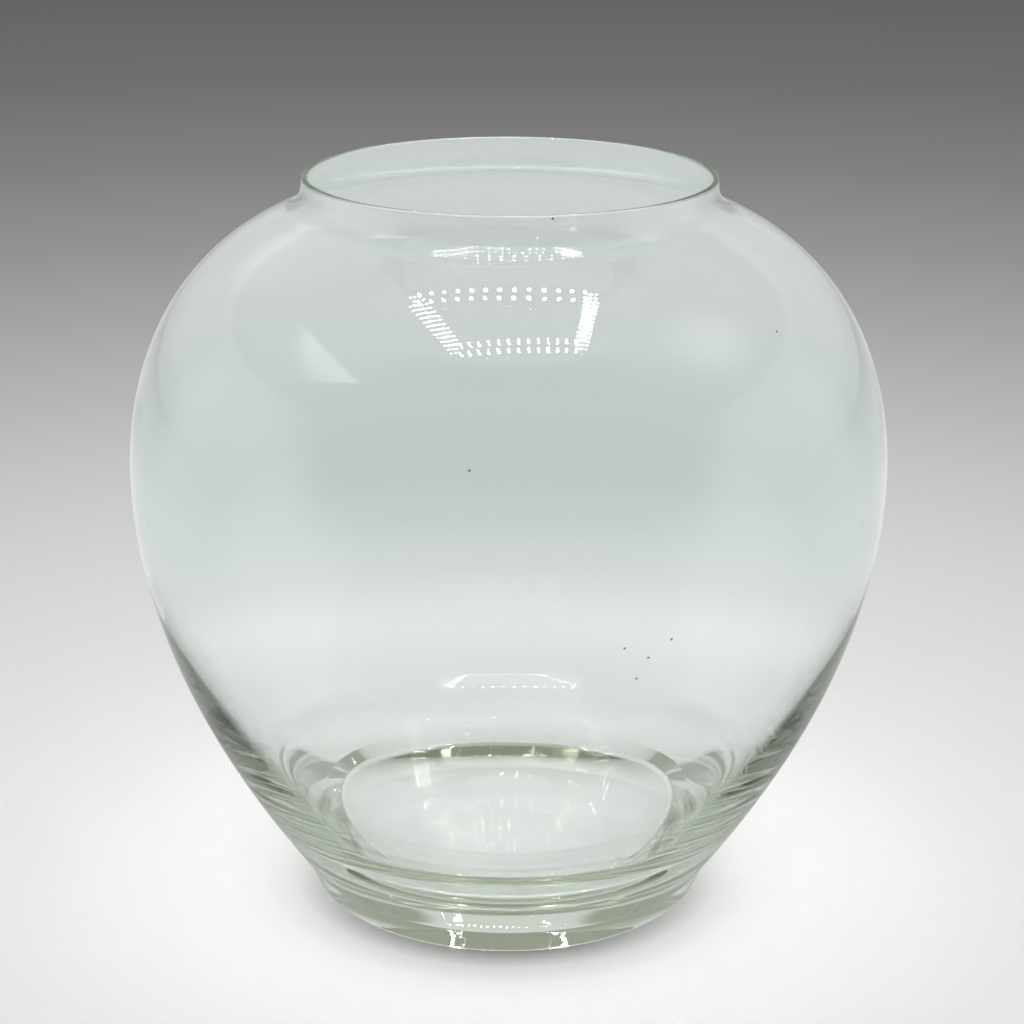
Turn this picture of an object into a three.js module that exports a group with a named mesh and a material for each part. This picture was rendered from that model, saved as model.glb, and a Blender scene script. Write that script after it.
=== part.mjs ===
// Glass bowl: a clear globe that narrows to a thick, heavy foot, with a short open collar round its mouth.
// The real bowl is one piece of glass, so it is one solid of revolution with one wall all round its hollow.
// Sizes are in millimetres, +Z is up, and the origin is the middle of the flat underside.

import * as THREE from "three";

// Heights, stacked from the surface that the bowl stands on: foot, flank up to the belly, shoulder and collar
const footHeight = 8.5;
const flankRise = 124.5;
const shoulderRise = 76.4;
const collarHeight = 10.6;

// Outside radii
const footRadius = 59.7;
const bellyRadius = 112.2;
const collarRadius = 60.2;

// Thickness of the glass
const floorThickness = 15.9;
const heelWall = 6.2;
const bellyWall = 1.75;
const shoulderWall = 2.2;
const rimWall = 1.9;

// Rounded foot edge, and the wide concave sweep where the shoulder turns up into the collar
const footEdgeRadius = 2.2;
const neckFilletRadius = 9.2;

// Directions of the wall: foot and flank from upright, shoulder and inner heel from level
const footLean = 23;
const flankLean = 34.5;
const shoulderSlope = 22.5;
const heelSlope = 56;

// How far each end of an outside curve runs on along its own direction before it bends
const flankReachAtFoot = 18.4;
const flankReachAtBelly = 58;
const shoulderReachAtBelly = 26;
const shoulderReachAtNeck = 40;

// Inside of the thick base: a flat floor that turns up through a wide heel into the wall
const flatFloorRadius = 13;
const heelRise = 19.8;
const floorReach = 28.3;
const heelReachInwards = 10.8;
const heelReachOutwards = 41;
const wallReachAtBelly = 36;

// Steps of each stretch of the outline and of the turn
const edgeSteps = 5;
const curveSteps = 10;
const heelSteps = 6;
const turnSteps = 64;

const degrees = Math.PI / 180;
const bellyHeight = footHeight + flankRise;
const neckHeight = bellyHeight + shoulderRise;
const rimHeight = neckHeight + collarHeight;

// Points of a round edge or fillet, from one angle to another
function arc(centre, radius, from, to, steps) {
  const points = [];
  for (let step = 0; step <= steps; step += 1) {
    const angle = from + ((to - from) * step) / steps;
    points.push(new THREE.Vector2(centre.x + radius * Math.cos(angle), centre.y + radius * Math.sin(angle)));
  }
  return points;
}

// Point at a distance from another, in a direction given by its angle above level
function onwards(point, distance, angle) {
  return new THREE.Vector2(point.x + distance * Math.cos(angle), point.y + distance * Math.sin(angle));
}

// Smooth curve between two points that leaves towards one handle and arrives from the other
function curve(start, startHandle, endHandle, end, steps) {
  return new THREE.CubicBezierCurve(start, startHandle, endHandle, end).getPoints(steps);
}

// Corner between the foot and the flank, where the wall starts to lean out
function flankStart() {
  return new THREE.Vector2(footRadius + footHeight * Math.tan(footLean * degrees), footHeight);
}

// Corner between the shoulder and the collar, from the shoulder up to the upright collar
function neckFillet(collar, radius, height) {
  const turn = (90 - shoulderSlope) * degrees;
  const centre = new THREE.Vector2(collar + radius, height + radius * Math.sin(turn));
  return arc(centre, radius, Math.PI + turn, Math.PI, edgeSteps);
}

// Outside of the glass, from the middle of the underside up to the outer edge of the rim
function outsideOutline() {
  const lean = footLean * degrees;
  const edgeInset = footEdgeRadius * Math.tan((Math.PI / 2 - lean) / 2);
  const edgeCentre = new THREE.Vector2(footRadius - edgeInset, footEdgeRadius);
  const footEdge = arc(edgeCentre, footEdgeRadius, -Math.PI / 2, -lean, edgeSteps);

  const corner = flankStart();
  const belly = new THREE.Vector2(bellyRadius, bellyHeight);
  const flankLow = onwards(corner, flankReachAtFoot, (90 - flankLean) * degrees);
  const flankHigh = onwards(belly, flankReachAtBelly, -Math.PI / 2);
  const flank = curve(corner, flankLow, flankHigh, belly, curveSteps);

  const fillet = neckFillet(collarRadius, neckFilletRadius, neckHeight);
  const shoulderLow = onwards(belly, shoulderReachAtBelly, Math.PI / 2);
  const shoulderHigh = onwards(fillet[0], shoulderReachAtNeck, -shoulderSlope * degrees);
  const shoulder = curve(belly, shoulderLow, shoulderHigh, fillet[0], curveSteps);

  return [new THREE.Vector2(0, 0), ...footEdge, ...flank, ...shoulder.slice(1), ...fillet.slice(1)];
}

// Fire-polished lip: half a circle from the outer side of the collar over to the inner side
function rimOutline() {
  const lipRadius = rimWall / 2;
  const centre = new THREE.Vector2(collarRadius - lipRadius, rimHeight - lipRadius);
  return arc(centre, lipRadius, 0, Math.PI, edgeSteps * 2);
}

// Inside of the glass, from below the rim down to the middle of the floor
function insideOutline() {
  const collarInside = collarRadius - rimWall;
  const fillet = neckFillet(collarInside, neckFilletRadius + rimWall, neckHeight - shoulderWall).reverse();
  const neckInside = fillet.at(-1);

  const belly = new THREE.Vector2(bellyRadius - bellyWall, bellyHeight);
  const shoulderHigh = onwards(neckInside, shoulderReachAtNeck, -shoulderSlope * degrees);
  const shoulderLow = onwards(belly, shoulderReachAtBelly, Math.PI / 2);
  const shoulder = curve(neckInside, shoulderHigh, shoulderLow, belly, curveSteps);

  const corner = flankStart();
  const heelHeight = floorThickness + heelRise;
  const flankAtHeel = corner.x + (heelHeight - corner.y) * Math.tan(flankLean * degrees);
  const heel = new THREE.Vector2(flankAtHeel - heelWall, heelHeight);
  const slope = heelSlope * degrees;
  const wallHigh = onwards(belly, wallReachAtBelly, -Math.PI / 2);
  const wallLow = onwards(heel, heelReachOutwards, slope);
  const wall = curve(belly, wallHigh, wallLow, heel, curveSteps);

  const floorEdge = new THREE.Vector2(flatFloorRadius, floorThickness);
  const heelInwards = onwards(heel, heelReachInwards, slope + Math.PI);
  const floorOutwards = onwards(floorEdge, floorReach, 0);
  const bend = curve(heel, heelInwards, floorOutwards, floorEdge, heelSteps);

  const floorCentre = new THREE.Vector2(0, floorThickness);
  return [...fillet, ...shoulder.slice(1), ...wall.slice(1), ...bend.slice(1), floorCentre];
}

const clearGlass = new THREE.MeshStandardMaterial({
  color: 0xd9e2dc,
  roughness: 0.02,
  metalness: 0,
  transparent: true,
  opacity: 0.35,
});

const outline = [...outsideOutline(), ...rimOutline(), ...insideOutline()];
const geometry = new THREE.LatheGeometry(outline, turnSteps);
geometry.rotateX(Math.PI / 2);

const bowl = new THREE.Mesh(geometry, clearGlass);
bowl.name = "glass_bowl";

const model = new THREE.Group();
model.add(bowl);

export default model;
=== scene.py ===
# %% [markdown]
# # A clear glass bowl
# The bowl is one piece of blown glass: a globe on a thick, solid base, with a short open collar.
# A glass piece has no colour of its own to paint. What the eye reads as glass is the shape of its two
# surfaces, inside and outside, and what stands round it. So this lesson spends its care on three things:
# a true wall with its real thickness, a glass that bends and tints light, and a pale studio to look into.

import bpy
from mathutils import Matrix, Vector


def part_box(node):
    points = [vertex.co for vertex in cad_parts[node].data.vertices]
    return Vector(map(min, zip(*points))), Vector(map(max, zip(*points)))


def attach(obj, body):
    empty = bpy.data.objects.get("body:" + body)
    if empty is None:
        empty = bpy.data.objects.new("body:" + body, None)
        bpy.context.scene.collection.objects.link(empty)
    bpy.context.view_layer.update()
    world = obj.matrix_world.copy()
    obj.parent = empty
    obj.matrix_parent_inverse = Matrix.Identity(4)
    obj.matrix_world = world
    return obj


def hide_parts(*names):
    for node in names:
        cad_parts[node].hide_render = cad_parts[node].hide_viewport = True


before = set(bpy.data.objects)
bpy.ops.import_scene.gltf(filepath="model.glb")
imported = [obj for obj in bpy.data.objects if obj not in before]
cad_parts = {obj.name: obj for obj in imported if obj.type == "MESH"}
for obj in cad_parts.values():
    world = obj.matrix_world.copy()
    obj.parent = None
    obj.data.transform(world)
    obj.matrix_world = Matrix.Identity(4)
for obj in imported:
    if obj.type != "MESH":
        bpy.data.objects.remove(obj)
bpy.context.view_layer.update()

# %% [markdown]
# ## Sizes
# Every size of the bowl has a name, as on a maker's drawing. The height and the widest radius come from
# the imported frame, so the fine surface made here ends exactly where the CAD solid ends.

# %% Sizes of the bowl
import math

import bmesh
import bpy
from mathutils import Vector

MM = 0.001

bowl_low, bowl_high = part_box("glass_bowl")
rim_height = bowl_high[2]
belly_radius = bowl_high[0]

foot_height = 8.5 * MM
foot_radius = 59.7 * MM
foot_lean = math.radians(23)
foot_edge_radius = 2.2 * MM
foot_blend = 0.6 * MM

flank_rise = 124.5 * MM
flank_lean = math.radians(34.5)
flank_reach_at_foot = 18.4 * MM
flank_reach_at_belly = 58 * MM

shoulder_slope = math.radians(22.5)
shoulder_reach_at_belly = 26 * MM
shoulder_reach_at_neck = 40 * MM

collar_height = 10.6 * MM
collar_radius = 60.2 * MM
neck_fillet_radius = 9.2 * MM

floor_thickness = 15.9 * MM
heel_wall = 6.2 * MM
belly_wall = 1.75 * MM
shoulder_wall = 2.2 * MM
rim_wall = 1.9 * MM

flat_floor_radius = 13 * MM
floor_reach = 28.3 * MM
heel_rise = 19.8 * MM
heel_slope = math.radians(56)
heel_reach_inwards = 10.8 * MM
heel_reach_outwards = 41 * MM
wall_reach_at_belly = 36 * MM

neck_height = rim_height - collar_height
belly_height = foot_height + flank_rise
print("Box of the bowl in metres:", tuple(bowl_low), tuple(bowl_high))
print("Rim height and belly radius in metres:", round(rim_height, 4), round(belly_radius, 4))

# %% [markdown]
# ## Outline of the wall
# A blown bowl is round, so half of its cut section says everything. The section could be traced point by
# point, but a few curves with handles are closer to how a blower thinks: the flank leaves the foot at one
# slope and arrives upright at the belly. Each outline is a list of (radius, height) points.

# %% Helpers for outlines
def arc(centre, radius, start, end, steps):
    """Points of a round edge, from one angle above level to another."""
    angles = [start + (end - start) * step / steps for step in range(steps + 1)]
    return [(centre[0] + radius * math.cos(a), centre[1] + radius * math.sin(a)) for a in angles]


def onwards(point, distance, angle):
    """The point at a distance from another, in a direction given by its angle above level."""
    return (point[0] + distance * math.cos(angle), point[1] + distance * math.sin(angle))


def curve(start, start_handle, end_handle, end, steps):
    """A smooth curve that leaves towards one handle and arrives from the other."""
    points = []
    for step in range(steps + 1):
        t = step / steps
        weights = ((1 - t) ** 3, 3 * t * (1 - t) ** 2, 3 * t * t * (1 - t), t ** 3)
        corners = (start, start_handle, end_handle, end)
        points.append(tuple(sum(w * c[k] for w, c in zip(weights, corners)) for k in (0, 1)))
    return points


def rounded_corner(corner, before, after, radius, steps):
    """A small bend at a corner, between the directions in which the line arrives and goes on."""
    reach = radius * math.tan(abs(after - before) / 2)
    first = onwards(corner, -reach, before)
    last = onwards(corner, reach, after)
    return curve(first, corner, corner, last, steps)


def neck_fillet(collar, radius, height, steps):
    """The hollow corner where the shoulder turns up into the collar."""
    turn = math.pi / 2 - shoulder_slope
    centre = (collar + radius, height + radius * math.sin(turn))
    return arc(centre, radius, math.pi + turn, math.pi, steps)


print("A quarter of a circle in 4 steps:", len(arc((0, 0), 1, 0, math.pi / 2, 4)), "points")

# %% Outside of the glass
curve_steps = 72
edge_steps = 10
blend_steps = 3
flat_ring = 0.4 * MM


def outside_outline():
    """From the middle of the underside, round the foot and up to the outer edge of the rim."""
    edge_inset = foot_edge_radius * math.tan((math.pi / 2 - foot_lean) / 2)
    edge_centre = (foot_radius - edge_inset, foot_edge_radius)
    foot_edge = arc(edge_centre, foot_edge_radius, -math.pi / 2, -foot_lean, edge_steps)
    underside = [(0, 0), (foot_edge[0][0] - flat_ring, 0)]

    corner = (foot_radius + foot_height * math.tan(foot_lean), foot_height)
    before, after = math.pi / 2 - foot_lean, math.pi / 2 - flank_lean
    foot_top = rounded_corner(corner, before, after, foot_blend, blend_steps)
    belly = (belly_radius, belly_height)
    flank_low = onwards(corner, flank_reach_at_foot, after)
    flank_high = onwards(belly, flank_reach_at_belly, -math.pi / 2)
    flank = curve(foot_top[-1], flank_low, flank_high, belly, curve_steps)

    fillet = neck_fillet(collar_radius, neck_fillet_radius, neck_height, edge_steps)
    shoulder_low = onwards(belly, shoulder_reach_at_belly, math.pi / 2)
    shoulder_high = onwards(fillet[0], shoulder_reach_at_neck, -shoulder_slope)
    shoulder = curve(belly, shoulder_low, shoulder_high, fillet[0], curve_steps)
    return underside + foot_edge + foot_top + flank[1:] + shoulder[1:] + fillet[1:]


outside = outside_outline()
print("Outside outline:", len(outside), "points")


# %% Rim and inside of the glass
def rim_outline():
    """The fire-polished lip, half a circle over the top of the collar."""
    lip_radius = rim_wall / 2
    centre = (collar_radius - lip_radius, rim_height - lip_radius)
    return arc(centre, lip_radius, 0, math.pi, 2 * edge_steps)


def inside_outline():
    """From below the rim, down the wall, through the wide heel and to the middle of the floor."""
    inner_radius = neck_fillet_radius + rim_wall
    fillet = neck_fillet(collar_radius - rim_wall, inner_radius, neck_height - shoulder_wall, edge_steps)
    fillet.reverse()
    belly = (belly_radius - belly_wall, belly_height)
    shoulder_high = onwards(fillet[-1], shoulder_reach_at_neck, -shoulder_slope)
    shoulder_low = onwards(belly, shoulder_reach_at_belly, math.pi / 2)
    shoulder = curve(fillet[-1], shoulder_high, shoulder_low, belly, curve_steps)

    heel_height = floor_thickness + heel_rise
    corner_radius = foot_radius + foot_height * math.tan(foot_lean)
    flank_at_heel = corner_radius + (heel_height - foot_height) * math.tan(flank_lean)
    heel = (flank_at_heel - heel_wall, heel_height)
    wall_high = onwards(belly, wall_reach_at_belly, -math.pi / 2)
    wall_low = onwards(heel, heel_reach_outwards, heel_slope)
    wall = curve(belly, wall_high, wall_low, heel, curve_steps)

    floor_edge = (flat_floor_radius, floor_thickness)
    bend_high = onwards(heel, heel_reach_inwards, heel_slope + math.pi)
    bend_low = onwards(floor_edge, floor_reach, 0)
    bend = curve(heel, bend_high, bend_low, floor_edge, curve_steps // 2)
    flat = [(floor_edge[0] - flat_ring, floor_thickness), (0, floor_thickness)]
    return fillet + shoulder[1:] + wall[1:] + bend[1:] + flat


outline = outside + rim_outline() + inside_outline()
print("Whole outline:", len(outline), "points")

# %% [markdown]
# ## Turning the outline
# The outline is turned about the upright axis into rings of faces. A screw modifier could do that too, but
# rings made in code close cleanly at the two middle points and leave no doubled edge.

# %% Turn the outline into the bowl
turn_steps = 256


def turn(name, points, steps):
    """A closed mesh from an outline that starts and ends on the axis."""
    mesh = bmesh.new()
    rings = []
    for radius, height in points:
        count = 1 if radius == 0 else steps
        angles = [2 * math.pi * k / steps for k in range(count)]
        rings.append([mesh.verts.new((radius * math.cos(a), radius * math.sin(a), height)) for a in angles])
    for low, high in zip(rings, rings[1:]):
        for k in range(steps):
            n = (k + 1) % steps
            corners = [low[k % len(low)], low[n % len(low)], high[n % len(high)], high[k % len(high)]]
            mesh.faces.new(list(dict.fromkeys(corners)))
    bmesh.ops.recalc_face_normals(mesh, faces=mesh.faces)
    for face in mesh.faces:
        face.smooth = True
    data = bpy.data.meshes.new(name)
    mesh.to_mesh(data)
    mesh.free()
    piece = bpy.data.objects.new(name, data)
    bpy.context.scene.collection.objects.link(piece)
    return piece


bowl = turn("bowl_glass", outline, turn_steps)
print("Bowl:", len(bowl.data.vertices), "vertices,", len(bowl.data.polygons), "faces")

# %% [markdown]
# ## Helpers for materials
# A material is a small net of nodes. The same few steps come back in the glass, the floor and the tent: a
# bit of arithmetic, a share that rises along a value, a colour that changes along one, and a blend of two
# colours. Each is written once here. A share is a number from 0 to 1.

# %% Helpers for shader nodes
def calculate(tree, operation, *values):
    """The outcome of a math node for sockets or plain numbers."""
    node = tree.nodes.new("ShaderNodeMath")
    node.operation = operation
    for socket, value in zip(node.inputs, values):
        if isinstance(value, (int, float)):
            socket.default_value = value
        else:
            tree.links.new(value, socket)
    return node.outputs[0]


def measure(tree, operation, place, other=(0, 0, 0)):
    """One number from a place or direction, such as its distance from another place."""
    node = tree.nodes.new("ShaderNodeVectorMath")
    node.operation = operation
    tree.links.new(place, node.inputs[0])
    node.inputs[1].default_value = other
    return node.outputs["Value"]


def rise(tree, value, start, end, top=1, smooth=True):
    """A share that grows from 0 to its top while a value goes from its start to its end."""
    node = tree.nodes.new("ShaderNodeMapRange")
    node.interpolation_type = "SMOOTHSTEP" if smooth else "LINEAR"
    node.inputs["From Min"].default_value = start
    node.inputs["From Max"].default_value = end
    node.inputs["To Max"].default_value = top
    tree.links.new(value, node.inputs["Value"])
    return node.outputs[0]


def product(tree, shares):
    """Several shares multiplied, so that only what lies in all of them counts."""
    result = shares[0]
    for share in shares[1:]:
        result = calculate(tree, "MULTIPLY", result, share)
    return result


def ramp(tree, value, stops, smooth=True):
    """A colour that changes along a value, from stops of (place, colour) or (place, grey level)."""
    node = tree.nodes.new("ShaderNodeValToRGB")
    node.color_ramp.interpolation = "EASE" if smooth else "LINEAR"
    marks = node.color_ramp.elements
    while len(marks) < len(stops):
        marks.new(0.5)
    for mark, (place, colour) in zip(marks, stops):
        mark.position = place
        mark.color = (*colour, 1) if isinstance(colour, tuple) else grey(colour)
    tree.links.new(value, node.inputs["Fac"])
    return node.outputs["Color"]


def blend(tree, share, first, second):
    """One colour where the share is 0, the other where it is 1."""
    node = tree.nodes.new("ShaderNodeMix")
    node.data_type = "RGBA"
    tree.links.new(share, node.inputs["Factor"])
    for socket, value in ((node.inputs[6], first), (node.inputs[7], second)):
        if isinstance(value, tuple):
            socket.default_value = value
        else:
            tree.links.new(value, socket)
    return node.outputs[2]


def grey(level):
    """A neutral colour, from 0 for black to 1 for white."""
    return (level, level, level, 1)


def written(red, green, blue):
    """The linear colour of a screen colour given in 0 to 255."""
    def linear(value):
        value /= 255
        return value / 12.92 if value <= 0.04045 else ((value + 0.055) / 1.055) ** 2.4
    return (linear(red), linear(green), linear(blue))


print("A screen value of 128 as linear light:", round(written(128, 128, 128)[0], 3))

# %% [markdown]
# ## Clear glass
# Glass is nearly all shader: light passes, bends by the index of refraction, and a little of it reflects.
# Thick glass also takes some colour from the light. That belongs in the volume, not in the surface colour,
# because then the thin wall stays clear and only the heavy base looks green.
# Hand-made glass is never quite even. Its skin waves a little, hands leave a thin smear here and there, and
# a few dark specks stay in the wall. The specks have written places, and the rest is noise.

# %% Specks in the wall
speck_radius = 0.35 * MM
speck_softness = 0.3
speck_colour = (0.05, 0.05, 0.04, 1)
specks = ((-101.5, -47.6, 128.9), (-10, -107, 164.1), (72, -60.4, 188.9), (30.5, -106.8, 115.5),
          (36.9, -104.2, 111.9), (33.9, -104.1, 105.9), (43, -102.5, 116.4), (99.5, -51.8, 131.4),
          (11.4, -59.1, 219.2))


def speck_share(tree, place):
    """1 on the dark specks and 0 elsewhere."""
    gaps = [measure(tree, "DISTANCE", place, [value * MM for value in speck]) for speck in specks]
    nearest = gaps[0]
    for gap in gaps[1:]:
        nearest = calculate(tree, "MINIMUM", nearest, gap)
    outer = speck_radius * (1 + speck_softness)
    inner = speck_radius * (1 - speck_softness)
    return rise(tree, nearest, outer, inner, smooth=False)


print("Dark specks in the wall:", len(specks))

# %% The glass material
glass_index = 1.52
tint_colour = (0.80, 0.83, 0.77, 1)
tint_density = 18
smear_patches, smear_detail = 22, 4
smear_roughness = [(0.56, 0), (0.72, 0.025)]
wave_patches, wave_detail = 30, 1
wave_height = 0.25 * MM
wave_strength = 0.4


def noise(tree, place, patches, detail):
    """Uneven values between about 0.3 and 0.7, with a number of patches to the metre."""
    node = tree.nodes.new("ShaderNodeTexNoise")
    node.inputs["Scale"].default_value = patches
    node.inputs["Detail"].default_value = detail
    tree.links.new(place, node.inputs["Vector"])
    return node.outputs[0]


def clear_glass():
    """Polished glass with a faint green tint that grows with thickness."""
    material = bpy.data.materials.new("clear_glass")
    material.use_nodes = True
    tree = material.node_tree
    surface = tree.nodes["Principled BSDF"]
    surface.inputs["IOR"].default_value = glass_index
    surface.inputs["Transmission Weight"].default_value = 1
    place = tree.nodes.new("ShaderNodeTexCoord").outputs["Object"]

    colour = blend(tree, speck_share(tree, place), grey(1), speck_colour)
    tree.links.new(colour, surface.inputs["Base Color"])
    smear = ramp(tree, noise(tree, place, smear_patches, smear_detail), smear_roughness)
    tree.links.new(smear, surface.inputs["Roughness"])
    wave = tree.nodes.new("ShaderNodeBump")
    wave.inputs["Strength"].default_value = wave_strength
    wave.inputs["Distance"].default_value = wave_height
    tree.links.new(noise(tree, place, wave_patches, wave_detail), wave.inputs["Height"])
    tree.links.new(wave.outputs["Normal"], surface.inputs["Normal"])

    inside = tree.nodes.new("ShaderNodeVolumeAbsorption")
    inside.inputs["Color"].default_value = tint_colour
    inside.inputs["Density"].default_value = tint_density
    tree.links.new(inside.outputs["Volume"], tree.nodes["Material Output"].inputs["Volume"])
    return material


bowl.data.materials.append(clear_glass())
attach(bowl, "root")
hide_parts("glass_bowl")
print("Glass index:", glass_index)

# %% [markdown]
# ## What the glass sees
# A picture of glass is mostly a picture of its surroundings. So the floor and the tent have more than one
# set of tones: one for the camera, one for rays that have passed through the glass, and one for rays that
# are mirrored by its skin. On the floor, these tones are painted light and shade. The sides of the tent are
# bright, which draws a light edge on the globe, and the mirrored floor is painted just as bright towards
# its sides.

# %% The bright sides of the tent
side_light = grey(1.05)
side_start, side_full = 0.8, 0.96


def sideways_share(tree, across):
    """1 where a direction points well to the left or right, and 0 where it points forwards or back."""
    return rise(tree, calculate(tree, "ABSOLUTE", across), side_start, side_full)


print("Brightness of the tent's sides:", side_light[0])

# %% [markdown]
# ## The table
# The bowl stands on a pale sweep. The floor is lit plainly, so the light on it is painted into its colour:
# a painted pool of light, pale round the bowl and falling away into grey, is written as rings of tone.
# Other rings paint the light and shade that the glass shows of the floor, through it and mirrored in its
# skin. Towards the left and right, the mirrored rings are painted as bright as the tent's sides. In these
# lists, each place is a share of the rings' reach.
# The shade at the foot could come from a lamp, but the light here is even on purpose, so the shade is
# written as well. It is deepest in front of the foot and fades towards the back.

# %% Tones of the floor
rings_reach = 2.5
# Painted pool of light seen by the camera: pale round the bowl, grey far off.
seen_light_pool_rings = [
    (0.034, 0.895), (0.044, 0.88), (0.052, 0.85), (0.064, 0.80), (0.1, 0.72), (0.16, 0.60), (0.224, 0.475),
    (0.288, 0.378), (0.368, 0.29), (0.48, 0.215), (0.64, 0.16), (0.88, 0.13)]
# Painted light and shade of the floor, for rays that have passed through the glass.
through_glass_light_rings = [
    (0.024, written(222, 228, 228)), (0.03, written(229, 234, 234)), (0.038, written(214, 220, 220)),
    (0.063, written(221, 226, 225)), (0.078, written(231, 236, 235)), (0.086, written(230, 235, 233)),
    (0.093, written(222, 228, 226)), (0.102, written(213, 220, 218)), (0.112, written(210, 218, 215)),
    (0.123, written(205, 214, 211)), (0.136, written(202, 212, 209)), (0.15, written(197, 208, 205)),
    (0.18, written(195, 206, 203)), (0.25, written(196, 207, 204)), (0.4, written(202, 207, 205))]
# Painted light and shade of the floor, for rays mirrored by the glass's skin.
mirrored_light_rings = [
    (0.06, 0.45), (0.1, 0.65), (0.12, 0.85), (0.2, 0.9), (0.3, 0.72), (0.45, 0.6), (0.6, 0.5), (1.0, 0.3)]
side_rings = [(0.12, 0), (0.18, 1)]
foot_shade = [(0.0236, 1), (0.0244, 0.86), (0.0256, 0.6), (0.0268, 0.36), (0.0292, 0.12), (0.033, 0)]
shade_start, shade_full, deepest_shade = 0.4, -1, 0.72
print("Tones of the floor:", len(seen_light_pool_rings), "seen,", len(through_glass_light_rings), "through the glass,",
      len(mirrored_light_rings), "mirrored")

# %% The floor
floor_radius = 4.0
floor_drop = 0.2 * MM
floor_corners = 96
paper_roughness = 0.9


def floor_material():
    """Painted rings of light, pale round the bowl and grey far off, with a painted shade before the foot,
    and other rings of painted light and shade for what the glass shows.
    """
    material = bpy.data.materials.new("floor_paper")
    material.use_nodes = True
    tree = material.node_tree
    surface = tree.nodes["Principled BSDF"]
    surface.inputs["Roughness"].default_value = paper_roughness
    surface.inputs["Specular IOR Level"].default_value = 0
    place = tree.nodes.new("ShaderNodeNewGeometry").outputs["Position"]
    distance = measure(tree, "LENGTH", place)
    share = calculate(tree, "DIVIDE", distance, rings_reach)
    parts = tree.nodes.new("ShaderNodeSeparateXYZ")
    tree.links.new(place, parts.inputs[0])
    forwards = calculate(tree, "DIVIDE", parts.outputs["Y"], distance)
    sideways = calculate(tree, "DIVIDE", parts.outputs["X"], distance)

    front = rise(tree, forwards, shade_start, shade_full, top=deepest_shade, smooth=False)
    shade = product(tree, [ramp(tree, share, foot_shade, smooth=False), front])
    # Painted light: the pool of light and the shadow before the foot are painted into the floor's colour.
    seen = blend(tree, shade, ramp(tree, share, seen_light_pool_rings, smooth=False), grey(0))
    tent = ramp(tree, share, through_glass_light_rings, smooth=False)
    # Painted reflection: towards the left and right, the mirrored floor is painted as bright as the tent's
    # sides.
    side = product(tree, [ramp(tree, share, side_rings), sideways_share(tree, sideways)])
    mirrored = blend(tree, side, ramp(tree, share, mirrored_light_rings, smooth=False), side_light)

    light = tree.nodes.new("ShaderNodeLightPath")
    colour = blend(tree, light.outputs["Is Glossy Ray"], seen, mirrored)
    colour = blend(tree, light.outputs["Is Transmission Ray"], colour, tent)
    tree.links.new(colour, surface.inputs["Base Color"])
    return material


def make_floor():
    """A large flat disc just under the bowl."""
    mesh = bmesh.new()
    bmesh.ops.create_circle(mesh, cap_ends=True, segments=floor_corners, radius=floor_radius)
    data = bpy.data.meshes.new("floor")
    mesh.to_mesh(data)
    mesh.free()
    data.materials.append(floor_material())
    floor = bpy.data.objects.new("floor", data)
    floor.location.z = -floor_drop
    bpy.context.scene.collection.objects.link(floor)
    return floor


floor = make_floor()
print("Floor radius in metres:", floor_radius, "and corners:", len(floor.data.vertices))

# %% [markdown]
# ## The pale tent
# Glass needs something to look at. A tent of white cloth gives the soft pale body of the globe, and its
# dark camera side gives the broad quiet band. Three bright cards give the pale patches on its skin. The
# tent could be built from sheets and lamps, but as a world each of its tones can be set by itself.
# In these lists, each place is a height: 0 is straight down, 0.5 level and 1 straight up.

# %% Tones of the tent
through_tones = [
    (0.5, (0.75, 0.78, 0.80)), (0.57, (0.95, 0.98, 1.02)), (0.63, (1.02, 1.04, 1.09)),
    (0.715, (1.02, 1.04, 1.09)), (0.738, (0.48, 0.49, 0.43)), (1.0, (0.48, 0.49, 0.43))]
dark_front = (0.42, 0.45, 0.42, 1)
cloth_tones = [(0.5, 0.4), (0.68, 0.42), (0.75, 0.7), (0.82, 0.95), (0.93, 1.0), (0.95, 1.2), (1.0, 1.2)]
camera_side_tones = [(0.5, 0.2), (0.93, 0.2), (0.955, 1.2), (1.0, 1.2)]
camera_side_start, camera_side_full = -0.1, -0.6
backdrop = grey(0.13)
print("Tones of the tent:", len(through_tones), "through the glass,", len(cloth_tones), "mirrored")

# %% Bright cards
left_card = (((-0.731, -0.012, -0.682), -0.01, 0.025), ((-0.731, -0.012, -0.682), 0.26, 0.03),
             ((0.294, 0.676, 0.676), 0, 0.03), ((0.463, -0.571, 0.678), 0.02, 0.15))
right_card = (((0.7, 0.06, 0.71), 0.955, 1.03),)
back_card = (((-0.38, 0.68, 0.62), 0.93, 0.99),)
cards = ((left_card, 3.4), (right_card, 3.0), (back_card, 1.2))


def card_share(tree, direction, edges):
    """1 on a card and 0 beside it. Each edge is an aim with the nearness to it where the card starts."""
    shares = []
    for aim, start, end in edges:
        nearness = measure(tree, "DOT_PRODUCT", direction, aim)
        shares.append(rise(tree, nearness, start, end))
    return product(tree, shares)


print("Bright cards:", len(cards))


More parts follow.
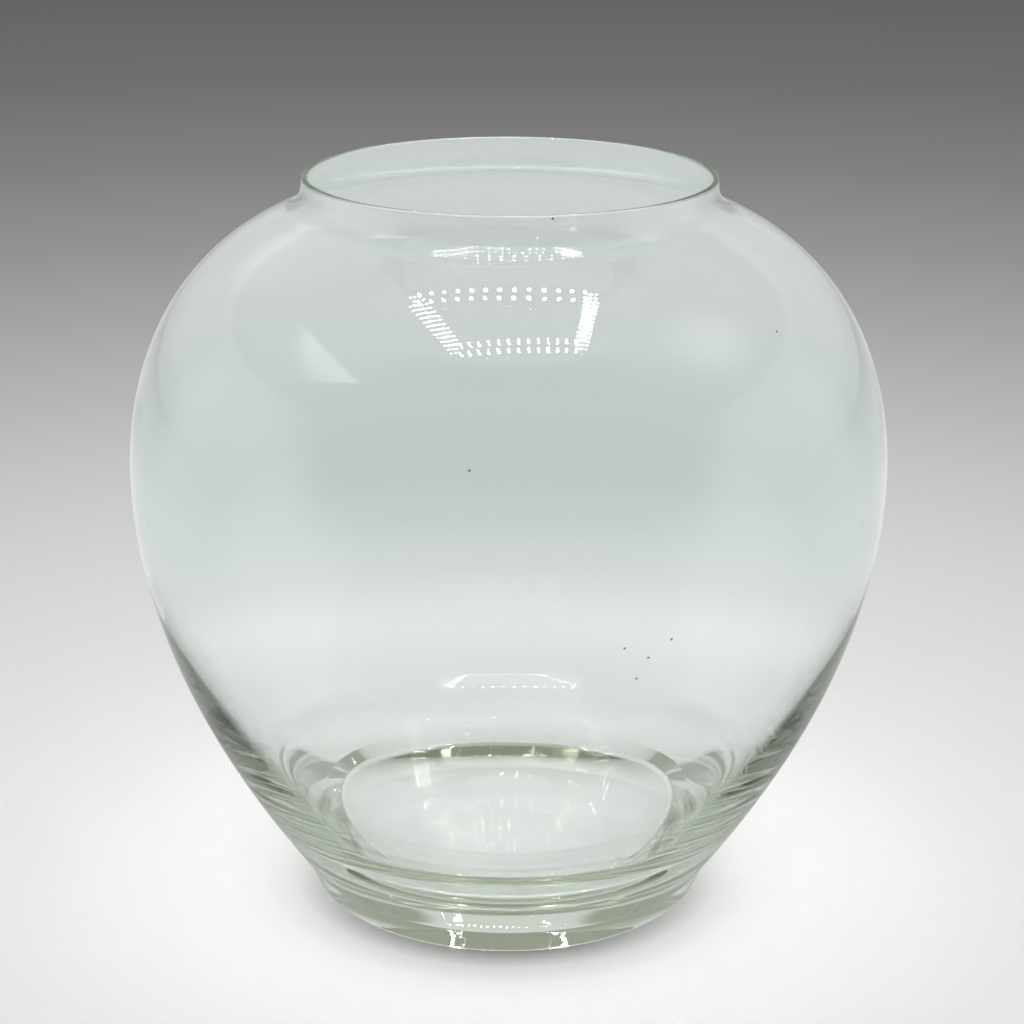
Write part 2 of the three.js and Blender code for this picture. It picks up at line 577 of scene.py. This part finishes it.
# %% The tent as a world
def tent_world():
    """Plain white light, with the tent's own tones for what the glass shows."""
    world = bpy.data.worlds.new("tent")
    world.use_nodes = True
    tree = world.node_tree
    direction = tree.nodes.new("ShaderNodeTexCoord").outputs["Generated"]
    parts = tree.nodes.new("ShaderNodeSeparateXYZ")
    tree.links.new(direction, parts.inputs[0])
    height = rise(tree, parts.outputs["Z"], -1, 1, smooth=False)
    towards_camera = rise(tree, parts.outputs["Y"], camera_side_start, camera_side_full)

    through = blend(tree, towards_camera, ramp(tree, height, through_tones), dark_front)
    cloth = ramp(tree, height, cloth_tones, smooth=False)
    mirrored = blend(tree, towards_camera, cloth, ramp(tree, height, camera_side_tones))
    mirrored = blend(tree, sideways_share(tree, parts.outputs["X"]), mirrored, side_light)
    for edges, brightness in cards:
        mirrored = blend(tree, card_share(tree, direction, edges), mirrored, grey(brightness))

    light = tree.nodes.new("ShaderNodeLightPath")
    colour = blend(tree, light.outputs["Is Glossy Ray"], grey(1), mirrored)
    colour = blend(tree, light.outputs["Is Transmission Ray"], colour, through)
    colour = blend(tree, light.outputs["Diffuse Depth"], colour, grey(1))
    colour = blend(tree, light.outputs["Is Camera Ray"], colour, backdrop)
    tree.links.new(colour, tree.nodes["Background"].inputs["Color"])
    return world


bpy.context.scene.world = tent_world()
print("World:", bpy.context.scene.world.name)

# %% [markdown]
# ## Lamps overhead
# Four strips of small square lamps hang over the bowl. They are there for the crisp points of light on the
# shoulder, and their light stays off the table. One bright panel would be simpler, but the photo shows
# rows of points.

# %% Lamp frame overhead
frame_height = 0.8
frame_corners = {"back_left": (-0.212, 0.062), "back_right": (0.175, 0.077),
                 "front_right": (0.2, -0.235), "front_left": (-0.15, -0.28)}
lamp_size = 7 * MM
lamps_in_row = 13
row_gap = 12 * MM
back_row_gap = 6 * MM
lamp_strength = 80
lamp_colour = (1, 0.98, 0.94, 1)


def lamp_row(mesh, start, end, count):
    """Small square lamps in a line, facing down."""
    half = lamp_size / 2
    corners = ((-half, -half), (-half, half), (half, half), (half, -half))
    for k in range(count):
        x, y = start.lerp(end, (k + 0.5) / count)
        mesh.faces.new([mesh.verts.new((x + dx, y + dy, frame_height)) for dx, dy in corners])


def lamp_material():
    """Black plates that only give light."""
    material = bpy.data.materials.new("lamp_light")
    material.use_nodes = True
    surface = material.node_tree.nodes["Principled BSDF"]
    surface.inputs["Base Color"].default_value = grey(0)
    surface.inputs["Emission Color"].default_value = lamp_colour
    surface.inputs["Emission Strength"].default_value = lamp_strength
    return material


def lamp_frame():
    """Four strips of lamps in a ring above the bowl, three rows to a strip."""
    mesh = bmesh.new()
    names = ("back_left", "back_right", "front_right", "front_left")
    for low, high in zip(names, names[1:] + names[:1]):
        start, end = Vector(frame_corners[low]), Vector(frame_corners[high])
        gap = back_row_gap if low == "back_left" else row_gap
        across = (end - start).orthogonal().normalized() * gap
        for row in (-1, 0, 1):
            lamp_row(mesh, start + across * row, end + across * row, lamps_in_row)
    data = bpy.data.meshes.new("lamp_frame")
    mesh.to_mesh(data)
    mesh.free()
    data.materials.append(lamp_material())
    lamps = bpy.data.objects.new("lamp_frame", data)
    bpy.context.scene.collection.objects.link(lamps)
    lamps.visible_diffuse = False
    return lamps


lamps = lamp_frame()
print("Lamps overhead:", len(lamps.data.polygons))

# %% [markdown]
# ## The camera
# The picture was taken from a little above the rim, with a long lens. The camera's place was found from the
# two ellipses that the rim and the foot make, so it is written here as real distances and angles.

# %% Camera
camera_distance = 0.704
camera_height = 0.35573
camera_pitch = math.radians(18.7535)
camera_roll = math.radians(0.2656)
lens_length = 86.56
sensor_width = 36
sideways_shift = 0.0035
nearest_seen = 0.05

data = bpy.data.cameras.new("camera")
data.sensor_width = sensor_width
data.lens = lens_length
data.shift_x = sideways_shift
data.clip_start = nearest_seen
camera = bpy.data.objects.new("camera", data)
camera.location = (0, -camera_distance, camera_height)
camera.rotation_euler = (math.pi / 2 - camera_pitch, 0, 0)
camera.rotation_euler.rotate_axis("Z", camera_roll)
bpy.context.scene.collection.objects.link(camera)
bpy.context.scene.camera = camera
bpy.context.scene.view_settings.view_transform = "Standard"
print("Camera at", tuple(round(value, 3) for value in camera.location))

# %% [markdown]
# ## Enough bounces for thick glass
# Light that enters the thick base may turn inside it many times before it leaves. With too few bounces
# those paths end in black, so the limits are raised. Reflections stay sharp, and only the rarest, brightest
# specks of light are held down.

# %% Light paths
most_bounces = 128
brightest_indirect = 60

paths = bpy.context.scene.cycles
paths.max_bounces = most_bounces
paths.transmission_bounces = most_bounces
paths.glossy_bounces = most_bounces
paths.sample_clamp_indirect = brightest_indirect
paths.blur_glossy = 0
print("Bounces allowed:", most_bounces)
